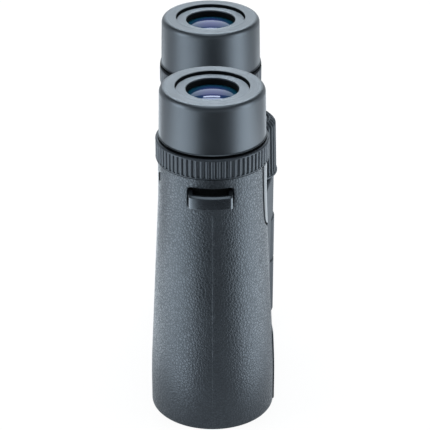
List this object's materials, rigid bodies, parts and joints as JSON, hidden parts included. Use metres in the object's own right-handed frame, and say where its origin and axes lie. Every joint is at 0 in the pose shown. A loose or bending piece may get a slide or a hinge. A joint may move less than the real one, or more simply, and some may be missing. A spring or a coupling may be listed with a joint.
{
  "type": "binoculars",
  "caption": "Roof-prism binoculars standing on their objective ends, with a folding hinge, centre focus wheel, dioptre ring and twist-up eyecups.",
  "frame": {"origin": "middle of the footprint, on the surface that the objective ends stand on", "axes": "+Z along the barrels towards the eyepieces, +X towards the user's left barrel, -Y towards the side with the bridge and focus wheel"},
  "size_m": [0.1242, 0.0528, 0.142],
  "materials": {
    "armour_rubber": "fine leather-like grain, satin",
    "flank_rubber": "fine matt texture",
    "shell_plastic": "smooth satin coat",
    "lug_plastic": "smooth satin",
    "ring_anodised": "black anodised, fine concentric turning grooves",
    "inner_plastic": "matt black",
    "tube_aluminium": "black anodised",
    "steel": "ground",
    "washer_plastic": "plain acetal",
    "socket_brass": "turned",
    "coated_glass": "polished, anti-reflection coated blue-green",
    "inner_glass": "polished",
    "eyecup_rubber": "smooth satin, fine concentric lines on the rim",
    "eyecup_plastic": "satin",
    "wheel_rubber": "ribbed satin",
    "wheel_cap_plastic": "satin",
    "diopter_plastic": "ribbed satin"
  },
  "bodies": {
    "right_half": {"right_housing": "shell_plastic", "right_grip_armour": "armour_rubber", "right_flank_armour": "flank_rubber", "right_strap_lug": "lug_plastic", "right_objective_ring": "ring_anodised", "right_objective_crown": "coated_glass", "right_objective_flint": "inner_glass", "right_focus_rods": "steel", "right_prism_cage": "inner_plastic", "right_prism_retainer": "steel", "right_half_penta_prism": "inner_glass", "right_roof_prism": "inner_glass", "right_eyepiece_tube": "tube_aluminium", "right_eye_lens": "coated_glass", "right_eyepiece_bezel": "ring_anodised", "right_eyecup_seat": "inner_plastic", "upper_hinge_sleeve": "tube_aluminium", "lower_hinge_sleeve": "tube_aluminium", "tripod_socket": "socket_brass", "focus_retaining_ring": "tube_aluminium", "hinge_washers": "washer_plastic"},
    "left_half": {"left_housing": "shell_plastic", "left_grip_armour": "armour_rubber", "left_flank_armour": "flank_rubber", "left_strap_lug": "lug_plastic", "left_objective_ring": "ring_anodised", "left_objective_crown": "coated_glass", "left_objective_flint": "inner_glass", "left_focus_rods": "steel", "left_prism_cage": "inner_plastic", "left_prism_retainer": "steel", "left_half_penta_prism": "inner_glass", "left_roof_prism": "inner_glass", "left_eyepiece_tube": "tube_aluminium", "left_eye_lens": "coated_glass", "left_eyepiece_bezel": "ring_anodised", "left_eyecup_seat": "inner_plastic", "left_field_cell": "inner_plastic", "left_field_lens": "inner_glass"},
    "focus_wheel": {"focus_wheel_core": "tube_aluminium", "focus_wheel_grip": "wheel_rubber", "focus_wheel_cap": "wheel_cap_plastic", "focus_spindle": "steel"},
    "focus_shuttle": {"focus_shuttle": "tube_aluminium", "right_focus_cell": "inner_plastic", "right_focus_lens": "inner_glass"},
    "left_focus_cell": {"left_focus_cell": "inner_plastic", "left_focus_lens": "inner_glass"},
    "diopter_ring": {"diopter_ring": "diopter_plastic"},
    "diopter_cell": {"right_field_cell": "inner_plastic", "right_field_lens": "inner_glass", "diopter_pin": "steel"},
    "right_eyecup_guide": {"right_eyecup_guide": "inner_plastic"},
    "right_eyecup": {"right_eyecup_core": "eyecup_plastic", "right_eyecup_rubber": "eyecup_rubber"},
    "left_eyecup_guide": {"left_eyecup_guide": "inner_plastic"},
    "left_eyecup": {"left_eyecup_core": "eyecup_plastic", "left_eyecup_rubber": "eyecup_rubber"}
  },
  "joints": [
    {"name": "interpupillary_hinge", "type": "hinge", "parent": "right_half", "child": "left_half", "pos_m": [0, -0.013, 0.055], "axis": [0, 0, 1], "range_deg": [-17, 45]},
    {"name": "focus_wheel_turn", "type": "hinge", "parent": "right_half", "child": "focus_wheel", "pos_m": [0, -0.013, 0.1], "axis": [0, 0, 1], "range_deg": [-270, 270]},
    {"name": "focus_shuttle_slide", "type": "slide", "parent": "right_half", "child": "focus_shuttle", "axis": [0, 0, 1], "range_m": [-0.0018, 0.0018]},
    {"name": "left_focus_slide", "type": "slide", "parent": "left_half", "child": "left_focus_cell", "axis": [0, 0, 1], "range_m": [-0.0018, 0.0018]},
    {"name": "diopter_turn", "type": "hinge", "parent": "right_half", "child": "diopter_ring", "pos_m": [-0.0363, 0.001, 0.117], "axis": [0, 0, 1], "range_deg": [-50, 50]},
    {"name": "diopter_slide", "type": "slide", "parent": "right_half", "child": "diopter_cell", "axis": [0, 0, 1], "range_m": [-0.0012, 0.0012]},
    {"name": "right_eyecup_rise", "type": "slide", "parent": "right_half", "child": "right_eyecup_guide", "axis": [0, 0, 1], "range_m": [0, 0.01]},
    {"name": "right_eyecup_twist", "type": "hinge", "parent": "right_eyecup_guide", "child": "right_eyecup", "pos_m": [-0.0363, 0.001, 0.132], "axis": [0, 0, 1], "range_deg": [0, 120]},
    {"name": "left_eyecup_rise", "type": "slide", "parent": "left_half", "child": "left_eyecup_guide", "axis": [0, 0, 1], "range_m": [0, 0.01]},
    {"name": "left_eyecup_twist", "type": "hinge", "parent": "left_eyecup_guide", "child": "left_eyecup", "pos_m": [0.0363, 0.001, 0.132], "axis": [0, 0, 1], "range_deg": [0, 120]}
  ],
  "couplings": [
    {"joint": "focus_wheel_turn", "follows": "focus_shuttle_slide", "rad_per_m": 2618},
    {"joint": "left_focus_slide", "follows": "focus_shuttle_slide", "ratio": 1},
    {"joint": "diopter_turn", "follows": "diopter_slide", "rad_per_m": 727.22},
    {"joint": "right_eyecup_twist", "follows": "right_eyecup_rise", "rad_per_m": 209.44},
    {"joint": "left_eyecup_twist", "follows": "left_eyecup_rise", "rad_per_m": 209.44}
  ]
}
